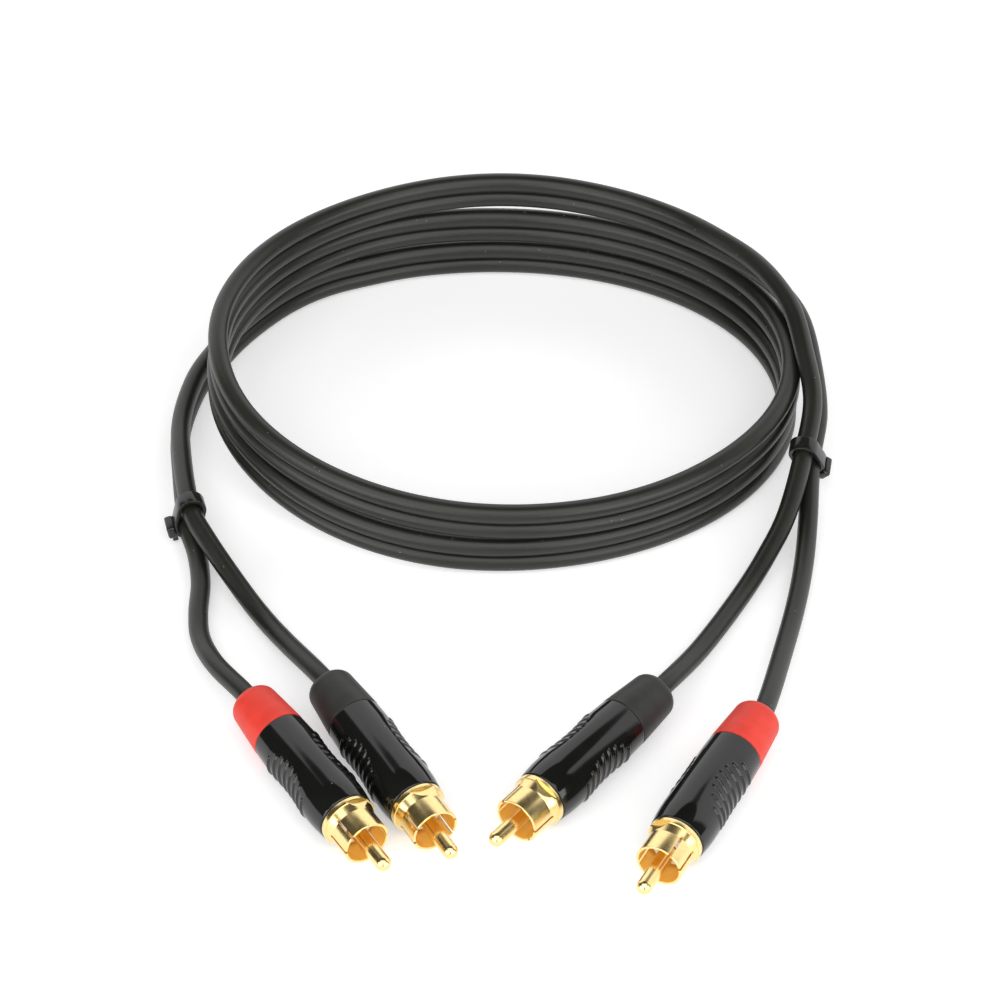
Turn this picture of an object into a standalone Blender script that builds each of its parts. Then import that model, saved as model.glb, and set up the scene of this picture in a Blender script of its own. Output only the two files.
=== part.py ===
"""Twin audio cable, coiled, with a phono plug on each of its four ends.

Metres, +Z up, lying on z = 0. Two round cords run side by side as one flat
cable. The cable stands on edge in an oval coil of two and a half turns, comes
off the coil at the left and at the right, and splits behind a cable tie into
a black lead and a red lead. Each lead ends in a plug.

A plug is built about its own Z axis, which runs from the tip of the pin back
to the cord. Its zero is the front face of the housing, and local +X is the
plain face of the housing, half way between the two ribbed scoops.
"""

from math import cos, degrees, pi, radians, sin, sqrt

import bmesh
import bpy
from mathutils import Matrix, Vector

MM = 0.001

# Clearances
FIT = 0.3 * MM            # between pieces that slide into one another
SEAM = 0.15 * MM          # between end faces that close on one another

# The two cords of the cable
CORD_D = 4.2 * MM
CORD_R = CORD_D / 2
CORD_SPACING = CORD_D + FIT
LEAD_STEP = 2.0 * CORD_D  # distance between points along a lead

# Centre pin
PIN_D = 3.2 * MM
PIN_TIP = -15.6 * MM
PIN_SHOULDER = 7.2 * MM
CUP_D = 2.5 * MM
CUP_BORE = 1.5 * MM
CUP_DEPTH = 3.0 * MM
CUP_LENGTH = 4.3 * MM

# Outer contact: slotted sleeve, ring with two flats, flange and spigot
SLEEVE_D = 9.7 * MM
SLEEVE_WALL = 0.55 * MM
SLEEVE_RIM = -8.0 * MM
SLEEVE_FLOOR = -2.0 * MM
SLOT_WIDTH = 0.45 * MM
SLOT_LENGTH = 5.4 * MM
WIDE_FINGER = radians(134)
RING_D = 10.7 * MM
RING_FRONT = -3.1 * MM
FLAT_TO_FLAT = 9.9 * MM
FLANGE_D = 11.3 * MM
FLANGE_THICK = 1.5 * MM
FLANGE_CHAMFER = 0.25 * MM
SPIGOT_D = 8.6 * MM
SPIGOT_LENGTH = 6.0 * MM

# Insulator between pin and contact
INSULATOR_D = 5.4 * MM
INSULATOR_HEAD_D = 7.6 * MM
INSULATOR_HEAD = 1.0 * MM
INSULATOR_TAIL = 0.6 * MM   # how far it stands out behind the spigot

# Housing
HOUSING_LENGTH = 25.7 * MM
HOUSING_FRONT_D = 11.5 * MM
HOUSING_BULGE_D = 12.4 * MM
HOUSING_REAR_D = 11.6 * MM
HOUSING_BULGE_FROM = 5.0 * MM
HOUSING_BULGE_TO = 9.0 * MM
HOUSING_EDGE = 0.4 * MM
HOUSING_BORE = SPIGOT_D + 2 * FIT
SCOOP_CENTRE = 14.0 * MM
SCOOP_LENGTH = 15.0 * MM
SCOOP_DEPTH = 0.95 * MM
SCOOP_REACH = radians(62)   # each way round from the middle of a scoop
RIB_COUNT = 8
RIB_CENTRE = 14.4 * MM
RIB_PITCH = 1.95 * MM
RIB_WIDTH = 0.9 * MM
RIB_HEIGHT = 0.45 * MM
RIB_BOW = 0.8 * MM          # how far a rib bows toward the pin at its middle

# Rear collar and the cord clamp inside it
COLLAR_LENGTH = 12.1 * MM
COLLAR_REAR_D = 10.0 * MM
COLLAR_ROUND = 2.2 * MM
COLLAR_NECK_D = HOUSING_BORE - 2 * FIT
COLLAR_NECK = 4.0 * MM
COLLAR_BORE = 7.2 * MM
COLLAR_END_WALL = 3.2 * MM
COLLAR_END = HOUSING_LENGTH + COLLAR_LENGTH
CLAMP_D = COLLAR_BORE - 2 * FIT
CLAMP_LENGTH = 10.0 * MM
CLAMP_TAPER = 2.0 * MM
CLAMP_SLIT = 0.5 * MM
CORD_STOP = 25.0 * MM       # where the jacket ends inside the plug
CORE_D = 1.8 * MM
WIRE_D = CUP_BORE - 2 * FIT

# Coil: an upright oval wall, the cable on edge, three cables high at the back
COIL_CENTRE = Vector((0.8, 27.8)) * MM
COIL_HALF_WIDTH = 62.7 * MM
COIL_HALF_DEPTH = 49.6 * MM
COIL_FROM = radians(60)     # where the left leads join, measured from the left
COIL_PEEL = radians(130)    # where the right leads come off the top
COIL_CLIMB = radians(270)   # the turns climb one cable height from here on
COIL_CLIMB_ARC = radians(90)
COIL_STATION = radians(10)

# How far a turn strays outward from the oval, in millimetres, by its degrees
# from the left over the back, counted on from the first turn to the last.
COIL_WANDER = {60: 1.6, 90: 0.1, 150: 0.0, 215: -1.0, 270: -0.6, 310: 0.8, 365: -0.3,
               420: 1.7, 450: 0.4, 480: 0.0, 510: 0.5, 550: -0.3, 580: -1.0,
               610: -0.6, 640: -1.0, 685: 0.2, 720: -1.0, 765: 0.0, 810: 1.3,
               850: -0.3}
CABLE_HEIGHT = 2 * CORD_SPACING
COIL_GROOVE = 0.42          # depth between two cords, as a share of CORD_R
COIL_SHOULDER = 0.9

# Cable ties
TIE_WIDTH = 3.2 * MM
TIE_THICK = 0.9 * MM
TIE_ROOM = 0.45 * MM        # between the strap and the jackets
TIE_HEAD = Vector((1.9, 3.0, 4.4)) * MM    # outward, round, along the cord
TIE_TAIL = Vector((1.2, 3.2, 2.6)) * MM    # the cut end that comes out of it
TIE_BEVEL = 0.5 * MM
TIE_CORNER_STEPS = 8

# The layout is drawn about the coil. The model's origin lies here in it,
# under the middle of the plugs and ties.
LAYOUT_ORIGIN = Vector((0.0, -55.5, 0.0)) * MM

AXIS_HEIGHT = HOUSING_BULGE_D / 2
TURN_STEPS = 18

# Each plug: front face of the housing in the layout, heading of its tail,
# turn of the housing and turn of the contact, both from upright.
PLUGS = {
    "left_red": ((-30.1, -98.0), 122.3, -7.0, 24.0),
    "left_black": ((-16.5, -94.5), 119.2, -4.0, 10.0),
    "right_black": ((8.2, -92.6), 51.0, 14.0, 22.0),
    "right_red": ((34.4, -103.5), 61.8, -17.0, -38.0),
}

# Each lead, from the coil to its plug, in the layout, in millimetres.
LEADS = {
    "left_black": [(-38.8, 69.0, 6.7), (-45.5, 64.7, 6.7), (-51.8, 58.7, 6.7),
                   (-58.4, 50.1, 6.7), (-64.3, 39.4, 6.7), (-67.4, 30.9, 6.7),
                   (-69.2, 18.4, 6.8), (-68.3, 5.4, 7.8), (-65.4, -11.3, 8.5),
                   (-61.5, -19.6, 6.6), (-54.0, -30.9, 3.2),
                   (-48.9, -38.6, 2.2), (-43.7, -46.9, 3.2)],
    "left_red": [(-38.8, 69.0, 2.2), (-45.5, 64.7, 2.2), (-51.8, 58.7, 2.2),
                 (-58.4, 50.1, 2.2), (-64.3, 39.3, 2.2), (-67.5, 30.9, 2.2),
                 (-69.6, 18.4, 2.3), (-68.6, 5.4, 3.3), (-66.4, -11.5, 4.1),
                 (-63.9, -19.8, 2.8), (-62.7, -28.0, 2.2),
                 (-62.7, -37.0, 2.2), (-61.7, -44.8, 2.5),
                 (-58.1, -53.9, 4.2)],
    "right_black": [(47.7, 59.6, 24.7), (55.0, 52.4, 24.4), (60.0, 45.3, 23.6),
                    (63.8, 37.2, 22.1), (65.7, 27.4, 19.4),
                    (67.2, 15.1, 15.7), (64.9, 2.9, 11.9), (60.9, -11.4, 7.0),
                    (56.1, -21.5, 4.2), (50.1, -32.2, 2.3),
                    (41.1, -48.5, 3.2)],
    "right_red": [(48.5, 59.9, 20.4), (56.4, 53.0, 20.3), (61.8, 46.2, 19.9),
                  (65.9, 38.0, 18.5), (67.9, 27.7, 15.3),
                  (68.7, 15.4, 11.4), (66.7, 3.8, 7.9), (65.4, -10.8, 4.4),
                  (64.1, -21.4, 2.6), (62.0, -32.8, 2.2),
                  (58.7, -46.8, 3.0)],
}

# Which route point of the two leads each tie closes on, which is a pair of
# the upper and the lower cord, and where round the lower cord its head sits.
TIES = {
    "left_tie": ("left_black", "left_red", 8, 68.0),
    "right_tie": ("right_black", "right_red", 6, -32.0),
}


def clear_scene():
    for piece in list(bpy.data.objects):
        bpy.data.objects.remove(piece, do_unlink=True)


def material(name, colour, roughness, metallic=0.0):
    made = bpy.data.materials.new(name)
    made.use_nodes = True
    shader = made.node_tree.nodes["Principled BSDF"]
    shader.inputs["Base Color"].default_value = (*colour, 1.0)
    shader.inputs["Roughness"].default_value = roughness
    shader.inputs["Metallic"].default_value = metallic
    return made


def place(name, mesh, finish, parent, turn=0.0):
    """Adds one piece of the object under its parent."""
    if not mesh.materials:
        mesh.materials.append(finish)
    piece = bpy.data.objects.new(name, mesh)
    bpy.context.scene.collection.objects.link(piece)
    piece.parent = parent
    piece.rotation_euler.z = turn
    return piece


def empty(name, location, rotation=(0.0, 0.0, 0.0), parent=None):
    frame = bpy.data.objects.new(name, None)
    bpy.context.scene.collection.objects.link(frame)
    frame.location = location
    frame.rotation_euler = rotation
    frame.parent = parent
    return frame


def finish_mesh(name, bm, sharp=radians(35)):
    bmesh.ops.recalc_face_normals(bm, faces=bm.faces)
    mesh = bpy.data.meshes.new(name)
    bm.to_mesh(mesh)
    bm.free()
    mesh.shade_smooth()
    mesh.set_sharp_from_angle(angle=sharp)
    return mesh


def turned(name, profile, steps=TURN_STEPS):
    """Spins a closed outline of (radius, height) points about Z."""
    bm = bmesh.new()
    corners = [bm.verts.new((radius, 0.0, height)) for radius, height in profile]
    edges = [bm.edges.new((a, b)) for a, b in zip(corners, corners[1:] + corners[:1])
             if a.co.x > 0 or b.co.x > 0]
    bmesh.ops.spin(bm, geom=corners + edges, axis=(0, 0, 1), cent=(0, 0, 0),
                   angle=2 * pi, steps=steps, use_duplicate=False)
    bmesh.ops.remove_doubles(bm, verts=bm.verts, dist=0.01 * MM)
    return finish_mesh(name, bm)


def arc(centre, radius, start, end, steps):
    """Points of a rounded corner in a turned outline."""
    return [(centre[0] + radius * cos(radians(start + (end - start) * i / steps)),
             centre[1] + radius * sin(radians(start + (end - start) * i / steps)))
            for i in range(steps + 1)]


def box(name, size, centre=(0, 0, 0), turn=0.0, bevel=0.0):
    """A cutting or joining block, left out of the model itself."""
    bm = bmesh.new()
    bmesh.ops.create_cube(bm, size=1.0)
    bmesh.ops.scale(bm, vec=size, verts=bm.verts)
    if bevel:
        bmesh.ops.bevel(bm, geom=bm.edges[:], offset=bevel, segments=1,
                        affect="EDGES")
    bmesh.ops.translate(bm, vec=centre, verts=bm.verts)
    bmesh.ops.rotate(bm, cent=(0, 0, 0), matrix=Matrix.Rotation(turn, 3, "Z"),
                     verts=bm.verts)
    return finish_mesh(name, bm)


def combined(mesh, tools):
    """Cuts or joins each (operation, mesh) of tools and returns the result."""
    scene = bpy.context.scene.collection.objects
    body = bpy.data.objects.new("blank", mesh)
    scene.link(body)
    helpers = []
    for operation, tool_mesh in tools:
        tool = bpy.data.objects.new("tool", tool_mesh)
        tool.hide_render = True
        tool.display_type = "WIRE"
        scene.link(tool)
        helpers.append(tool)
        step = body.modifiers.new(operation.title(), "BOOLEAN")
        step.operation = operation
        step.solver = "EXACT"
        step.object = tool
    evaluated = body.evaluated_get(bpy.context.evaluated_depsgraph_get())
    result = bpy.data.meshes.new_from_object(evaluated)
    for helper in helpers + [body]:
        bpy.data.objects.remove(helper, do_unlink=True)
    result.shade_smooth()
    result.set_sharp_from_angle(angle=radians(35))
    return result


def centre_pin():
    """Pin with a ball tip, and a solder cup at its back."""
    radius = PIN_D / 2
    ball = arc((0.0, PIN_TIP + radius), radius, -90, 0, 4)
    ball[0] = (0.0, PIN_TIP)
    cup_end = PIN_SHOULDER + CUP_LENGTH
    return turned("centre_pin", ball + [
        (radius, PIN_SHOULDER), (CUP_D / 2, PIN_SHOULDER), (CUP_D / 2, cup_end),
        (CUP_BORE / 2, cup_end), (CUP_BORE / 2, cup_end - CUP_DEPTH),
        (0.0, cup_end - CUP_DEPTH)], steps=12)


def outer_contact():
    """Slotted sleeve: two saw cuts leave two wide and two narrow fingers."""
    sleeve, inside = SLEEVE_D / 2, SLEEVE_D / 2 - SLEEVE_WALL
    flange, flange_front = FLANGE_D / 2, -FLANGE_THICK
    bore = INSULATOR_D / 2 + FIT
    blank = turned("outer_contact", [
        (inside, SLEEVE_RIM), (sleeve, SLEEVE_RIM), (sleeve, RING_FRONT),
        (RING_D / 2, RING_FRONT), (RING_D / 2, flange_front),
        (flange - FLANGE_CHAMFER, flange_front),
        (flange, flange_front + FLANGE_CHAMFER), (flange, -SEAM),
        (SPIGOT_D / 2, -SEAM), (SPIGOT_D / 2, SPIGOT_LENGTH),
        (bore, SPIGOT_LENGTH), (bore, SLEEVE_FLOOR), (inside, SLEEVE_FLOOR)],
        steps=24)
    slot_end = SLEEVE_RIM + SLOT_LENGTH
    tools = []
    for angle in (WIDE_FINGER / 2, -WIDE_FINGER / 2):
        tools.append(("DIFFERENCE", box(
            "saw_cut", (2 * SLEEVE_D, SLOT_WIDTH, 2 * SLOT_LENGTH),
            (0, 0, slot_end - SLOT_LENGTH), angle)))
    flat_height = flange_front - RING_FRONT
    for side in (1, -1):
        tools.append(("DIFFERENCE", box(
            "flat", (RING_D, 2 * RING_D, flat_height + FIT),
            (side * (FLAT_TO_FLAT + RING_D) / 2, 0,
             RING_FRONT - FIT / 2 + flat_height / 2))))
    return combined(blank, tools)


def insulator():
    """Bush that holds the pin in the middle of the contact."""
    bore = PIN_D / 2 + FIT
    seat = SLEEVE_FLOOR - FIT
    tail = SPIGOT_LENGTH + INSULATOR_TAIL
    return turned("insulator", [
        (bore, seat - INSULATOR_HEAD), (INSULATOR_HEAD_D / 2, seat - INSULATOR_HEAD),
        (INSULATOR_HEAD_D / 2, seat), (INSULATOR_D / 2, seat),
        (INSULATOR_D / 2, tail), (bore, tail)], steps=12)


def housing_radius(height):
    """Outside radius of the housing before its scoops are cut."""
    bulge, front, rear = (HOUSING_BULGE_D / 2, HOUSING_FRONT_D / 2,
                          HOUSING_REAR_D / 2)
    if height < HOUSING_BULGE_FROM:
        return bulge - (bulge - front) * (1 - height / HOUSING_BULGE_FROM) ** 2
    if height < HOUSING_BULGE_TO:
        return bulge
    rise = (height - HOUSING_BULGE_TO) / (HOUSING_LENGTH - HOUSING_BULGE_TO)
    return bulge - (bulge - rear) * rise ** 2


def housing():
    """Tube with a scoop on two sides, each holding a fan of thin ribs."""
    columns = []
    for middle in (pi / 2, -pi / 2):
        columns += [(middle + across / 3 * SCOOP_REACH, across / 3)
                    for across in range(-3, 4)]
        plain = pi - 2 * SCOOP_REACH
        columns += [(middle + SCOOP_REACH + plain * third / 3, None)
                    for third in (1, 2)]

    first_rib = RIB_CENTRE - RIB_PITCH * (RIB_COUNT - 1) / 2
    rows = [(HOUSING_EDGE, None), (HOUSING_BULGE_FROM / 2, None),
            (HOUSING_BULGE_FROM, None)]
    for rib in range(RIB_COUNT):
        height = first_rib + RIB_PITCH * rib
        lens = sqrt(1 - ((rib - (RIB_COUNT - 1) / 2) / (RIB_COUNT * 0.62)) ** 2)
        rows += [(height - RIB_WIDTH / 2, 0.0), (height, lens),
                 (height + RIB_WIDTH / 2, 0.0)]
    last_rib = rows[-1][0]
    rows += [(last_rib + (HOUSING_LENGTH - last_rib) * 0.4, None),
             (HOUSING_LENGTH, None)]

    def surface_point(height, rib_reach, angle, across):
        radius = housing_radius(height)
        if rib_reach is not None and across is not None:
            height -= RIB_BOW * (1 - across ** 2)
            along = (height - SCOOP_CENTRE) / (SCOOP_LENGTH / 2)
            if abs(along) < 1:
                radius -= SCOOP_DEPTH * (1 - along ** 2) * (1 - across ** 2)
            if abs(across) < rib_reach:
                radius += RIB_HEIGHT * rib_reach * sqrt(rib_reach ** 2 - across ** 2)
        return radius * cos(angle), radius * sin(angle), height

    rings = [[(HOUSING_BORE / 2 * cos(angle), HOUSING_BORE / 2 * sin(angle), 0.0)
              for angle, _ in columns],
             [((HOUSING_FRONT_D / 2 - HOUSING_EDGE / 2) * cos(angle),
               (HOUSING_FRONT_D / 2 - HOUSING_EDGE / 2) * sin(angle), 0.0)
              for angle, _ in columns]]
    rings += [[surface_point(height, reach, angle, across)
               for angle, across in columns] for height, reach in rows]
    rings.append([(HOUSING_BORE / 2 * cos(angle), HOUSING_BORE / 2 * sin(angle),
                   HOUSING_LENGTH) for angle, _ in columns])

    bm = bmesh.new()
    loops = [[bm.verts.new(point) for point in ring] for ring in rings]
    for ring, following in zip(loops, loops[1:] + loops[:1]):
        for i in range(len(columns)):
            bm.faces.new((ring[i - 1], ring[i], following[i], following[i - 1]))
    return finish_mesh("housing", bm)


def collar():
    """Rear cap that screws into the housing over the cord clamp."""
    front = HOUSING_LENGTH + SEAM
    rear = COLLAR_REAR_D / 2
    neck = HOUSING_LENGTH - COLLAR_NECK
    floor = COLLAR_END - COLLAR_END_WALL
    hole = CORD_R + FIT
    rounding = arc((rear - COLLAR_ROUND, COLLAR_END - COLLAR_ROUND),
                   COLLAR_ROUND, 0, 90, 3)
    return turned("collar", [
        (COLLAR_BORE / 2, neck), (COLLAR_NECK_D / 2, neck),
        (COLLAR_NECK_D / 2, front), (HOUSING_REAR_D / 2, front)] + rounding +
        [(hole, COLLAR_END), (hole, floor), (COLLAR_BORE / 2, floor)])


def cord_clamp():
    """Slit ring that the collar closes on the jacket."""
    start = HOUSING_LENGTH - COLLAR_NECK + FIT
    end = start + CLAMP_LENGTH
    hole = CORD_R + FIT
    ring = turned("cord_clamp", [
        (hole, start), (CLAMP_D / 2, start), (CLAMP_D / 2, end - CLAMP_TAPER),
        (CLAMP_D / 2 - 2 * FIT, end), (hole, end)], steps=12)
    slit = box("slit", (2 * CLAMP_D, CLAMP_SLIT, CLAMP_LENGTH),
               (0, 0, end), radians(11))
    return combined(ring, [("DIFFERENCE", slit)])


def core():
    """Insulated core, from the end of the jacket to the solder cup."""
    cup_end = PIN_SHOULDER + CUP_LENGTH
    wire_end = cup_end - CUP_DEPTH + FIT
    return turned("core", [
        (0.0, wire_end), (WIRE_D / 2, wire_end), (WIRE_D / 2, cup_end + FIT),
        (CORE_D / 2, cup_end + FIT), (CORE_D / 2, CORD_STOP - FIT),
        (0.0, CORD_STOP - FIT)], steps=8)


def plug_axis(name):
    """Front face centre of a plug and the direction of its tail."""
    (x, y), heading, _, _ = PLUGS[name]
    angle = radians(heading)
    return Vector((x * MM, y * MM, AXIS_HEIGHT)), Vector((cos(angle), sin(angle), 0))


def coil_point(angle, height=0.0):
    """Point on the middle line of the coil's oval. Angles run from the left
    over the back to the right."""
    return Vector((COIL_CENTRE.x - COIL_HALF_WIDTH * cos(angle),
                   COIL_CENTRE.y + COIL_HALF_DEPTH * sin(angle), height))


def coil_outward(angle):
    out = Vector((-cos(angle) * COIL_HALF_DEPTH, sin(angle) * COIL_HALF_WIDTH, 0))
    return out.normalized()


def wander(angle):
    """How far outward a turn lies at an angle counted on over the turns."""
    marks = sorted(COIL_WANDER)
    where = min(max(degrees(angle), marks[0]), marks[-1])
    index = max(i for i, mark in enumerate(marks[:-1]) if mark <= where)

    def slope(i):
        before, after = marks[max(i - 1, 0)], marks[min(i + 1, len(marks) - 1)]
        return (COIL_WANDER[after] - COIL_WANDER[before]) / (after - before)

    start, end = marks[index], marks[index + 1]
    t = (where - start) / (end - start)
    return MM * ((2 * t - 3) * t * t * (COIL_WANDER[start] - COIL_WANDER[end]) +
                 COIL_WANDER[start] + (end - start) * t * (1 - t) *
                 (slope(index) * (1 - t) - slope(index + 1) * t))


def climb(angle):
    """Height that a turn has gained at an angle past the start of its climb."""
    share = min(max((angle - COIL_CLIMB) / COIL_CLIMB_ARC, 0.0), 1.0)
    return CABLE_HEIGHT * share * share * (3 - 2 * share)


def coil():
    """The turns as one wall, scalloped like the cords that lie in it."""
    scallop = [(CORD_R * COIL_GROOVE, 0.0),
               (CORD_R * COIL_SHOULDER, CORD_R * (1 - sqrt(1 - COIL_SHOULDER ** 2))),
               (CORD_R * COIL_SHOULDER, CORD_R * (1 + sqrt(1 - COIL_SHOULDER ** 2)))]

    def rows(cords):
        section = [(offset, cord * CORD_SPACING + height, (cord // 2,))
                   for cord in range(cords) for offset, height in scallop]
        for turn in range(1, cords // 2):
            groove = 2 * turn * len(scallop)
            section[groove] = (*section[groove][:2], (turn - 1, turn))
        return section + [(CORD_R * COIL_GROOVE, cords * CORD_SPACING - FIT,
                           (cords // 2 - 1,))]

    tall, low = rows(6), rows(4)
    full_turn = 2 * pi + COIL_FROM
    tall_steps = round((COIL_PEEL - COIL_FROM) / COIL_STATION)
    low_steps = round((full_turn - COIL_PEEL) / COIL_STATION)
    stations = [(COIL_FROM + (COIL_PEEL - COIL_FROM) * i / tall_steps, tall)
                for i in range(tall_steps + 1)]
    stations += [(COIL_PEEL + (full_turn - COIL_PEEL) * i / low_steps, low)
                 for i in range(1, low_steps)]

    bm = bmesh.new()
    walls = []
    for angle, section in stations:
        middle, out = coil_point(angle), coil_outward(angle)
        walls.append([[bm.verts.new(
            middle + Vector((0, 0, height + climb(angle))) +
            out * (side * offset + sum(wander(angle + 2 * pi * turn)
                                       for turn in turns) / len(turns)))
            for offset, height, turns in section] for side in (1, -1)])

    def skin(wall, following):
        for this, then in zip(wall, following):
            for i in range(len(this) - 1):
                bm.faces.new((this[i], this[i + 1], then[i + 1], then[i]))
        for end in (0, -1):
            bm.faces.new((wall[0][end], wall[1][end], following[1][end],
                          following[0][end]))

    def step_face(wall, first, last):
        outer, inner = wall
        for i in range(first, last):
            bm.faces.new((outer[i], outer[i + 1], inner[i + 1], inner[i]))

    top = len(low) - 1
    under = len(tall) - len(low)
    for wall, following in zip(walls[:tall_steps], walls[1:tall_steps + 1]):
        skin(wall, following)
    peel = walls[tall_steps]
    step_face(peel, top, len(tall) - 1)
    skin([side[:top + 1] for side in peel], walls[tall_steps + 1])
    for wall, following in zip(walls[tall_steps + 1:], walls[tall_steps + 2:]):
        skin(wall, following)
    skin(walls[-1], [side[under:] for side in walls[0]])
    step_face(walls[0], 0, under)
    return finish_mesh("cable_coil", bm, radians(50))


def smooth_route(points, step):
    """Even points, a step apart, on a smooth curve through route points."""
    guide = [2 * points[0] - points[1]] + points + [2 * points[-1] - points[-2]]
    fine = []
    for before, start, end, after in zip(guide, guide[1:], guide[2:], guide[3:]):
        for i in range(24):
            t = i / 24
            fine.append(0.5 * (2 * start + (end - before) * t +
                               (2 * before - 5 * start + 4 * end - after) * t ** 2 +
                               (3 * start - before - 3 * end + after) * t ** 3))
    fine.append(points[-1])
    lengths = [0.0]
    for a, b in zip(fine, fine[1:]):
        lengths.append(lengths[-1] + (b - a).length)
    count = max(round(lengths[-1] / step), 2)
    even, place_at = [], 0
    for i in range(count + 1):
        wanted = lengths[-1] * i / count
        while place_at < len(fine) - 2 and lengths[place_at + 1] < wanted:
            place_at += 1
        run = lengths[place_at + 1] - lengths[place_at]
        even.append(fine[place_at].lerp(fine[place_at + 1],
                                        (wanted - lengths[place_at]) / run))
    return even


def lead_route(name):
    """A lead's points: off the coil, along its route, into its plug."""
    side, colour = name.split("_")
    red = colour == "red"
    if side == "left":
        joint, ahead, turn = COIL_FROM, -1, 0
        height = CORD_R if red else CORD_R + CORD_SPACING
    else:
        joint, ahead, turn = COIL_PEEL, 1, 2
        height = CORD_R + CORD_SPACING * (4 if red else 5)
    start = coil_point(joint, height)
    onward = coil_point(joint + ahead * radians(1), height) - start
    start += (onward.normalized() * FIT +
              coil_outward(joint) * wander(joint + 2 * pi * turn))
    front, tail = plug_axis(name)
    points = [start, *(Vector(point) * MM for point in LEADS[name]),
              front + tail * (COLLAR_END + CORD_R)]
    return smooth_route(points, LEAD_STEP) + [front + tail * CORD_STOP]


def lead(name, finish, parent):
    """One cord from the coil into its plug, as a round bevelled curve."""
    points = lead_route(name)
    curve = bpy.data.curves.new(f"{name}_lead", "CURVE")
    curve.dimensions = "3D"
    curve.bevel_depth = CORD_R
    curve.bevel_resolution = 2
    curve.use_fill_caps = True
    spline = curve.splines.new("POLY")
    spline.points.add(len(points) - 1)
    for target, point in zip(spline.points, points):
        target.co = (*point, 1.0)
    spline.use_smooth = True
    return place(f"{name}_lead", curve, finish, parent)


def tie_mesh(head_angle):
    """Strap round both cords, the upper at +X, with its head on the lower."""
    inner = CORD_R + TIE_ROOM
    outline = []
    for radius in (inner, inner + TIE_THICK):
        loop = []
        for end, start in ((1, -90), (-1, 90)):
            loop += [(end * CORD_SPACING / 2 + x, y) for x, y in
                     arc((0.0, 0.0), radius, start, start + 180, TIE_CORNER_STEPS)]
        outline.append(loop)
    bm = bmesh.new()
    rings = [[bm.verts.new((x, y, z)) for x, y in loop]
             for loop, z in ((outline[0], -TIE_WIDTH / 2), (outline[0], TIE_WIDTH / 2),
                             (outline[1], TIE_WIDTH / 2), (outline[1], -TIE_WIDTH / 2))]
    for ring, following in zip(rings, rings[1:] + rings[:1]):
        for i in range(len(ring)):
            bm.faces.new((ring[i - 1], ring[i], following[i], following[i - 1]))
    strap = finish_mesh("cable_tie", bm)

    seat = inner + TIE_THICK / 2
    side = 1 if head_angle > 0 else -1
    tools = []
    for size, along in ((TIE_HEAD, 0.0), (TIE_TAIL, side * TIE_HEAD.y / 2)):
        block = box("head", size, (seat + size.x / 2, along, 0), bevel=TIE_BEVEL)
        block.transform(Matrix.Translation((-CORD_SPACING / 2, 0, 0)) @
                        Matrix.Rotation(pi - radians(head_angle), 4, "Z"))
        tools.append(("UNION", block))
    return combined(strap, tools)


def tie(name, finish, parent):
    """Sets a tie square to the two leads that it holds."""
    upper_name, lower_name, index, head_angle = TIES[name]
    upper = Vector(LEADS[upper_name][index]) * MM
    lower = Vector(LEADS[lower_name][index]) * MM
    run = sum((Vector(LEADS[lead_name][index + 1]) - Vector(LEADS[lead_name][index - 1])
               for lead_name in (upper_name, lower_name)), Vector())
    across = (upper - lower).normalized()
    along = (run - across * run.dot(across)).normalized()
    strap = place(name, tie_mesh(head_angle), finish, parent)
    axes = Matrix((across, along.cross(across), along)).transposed()
    strap.rotation_euler = axes.to_euler()
    strap.location = (upper + lower) / 2
    return strap


def build():
    clear_scene()
    gold = material("gold plate", (0.78, 0.55, 0.20), 0.2, 1.0)
    gloss_black = material("gloss black", (0.012, 0.012, 0.012), 0.15)
    matt_black = material("matt black", (0.03, 0.03, 0.03), 0.6)
    matt_red = material("matt red", (0.80, 0.07, 0.05), 0.5)
    white = material("white insulator", (0.75, 0.74, 0.70), 0.5)
    steel = material("clamp metal", (0.6, 0.6, 0.6), 0.35, 1.0)
    jacket = material("cord jacket", (0.035, 0.035, 0.033), 0.5)
    core_finish = material("core insulation", (0.8, 0.8, 0.78), 0.5)
    nylon = material("black nylon", (0.02, 0.02, 0.02), 0.35)

    layout = empty("layout", -LAYOUT_ORIGIN)
    pieces = {"housing": (housing(), gloss_black), "outer_contact": (outer_contact(), gold),
              "centre_pin": (centre_pin(), gold), "insulator": (insulator(), white),
              "cord_clamp": (cord_clamp(), steel), "core": (core(), core_finish)}
    collars = {"red": collar(), "black": collar()}

    for plug_name, (_, heading, housing_turn, contact_turn) in PLUGS.items():
        front, _ = plug_axis(plug_name)
        axis = empty(f"{plug_name}_plug", front, (0.0, pi / 2, radians(heading)), layout)
        for piece_name, (mesh, finish) in pieces.items():
            turn = contact_turn if piece_name == "outer_contact" else housing_turn
            place(f"{plug_name}_{piece_name}", mesh, finish, axis, pi + radians(turn))
        colour = plug_name.split("_")[1]
        place(f"{plug_name}_collar", collars[colour],
              matt_red if colour == "red" else matt_black, axis)
        lead(plug_name, jacket, layout)

    place("cable_coil", coil(), jacket, layout)
    for tie_name in TIES:
        tie(tie_name, nylon, layout)


build()
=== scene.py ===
"""Finished look of a coiled twin audio cable with four gold phono plugs.

Everything is in metres in the model's own frame: z = 0 is the surface that the
cable lies on, +Y runs from the plugs toward the coil, and the plugs' own
drawings run along local Z from the tip of the pin back to the cord.
"""

from math import cos, pi, radians, sin, sqrt

import bmesh
import bpy
import numpy as np
from mathutils import Matrix, Vector


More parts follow.
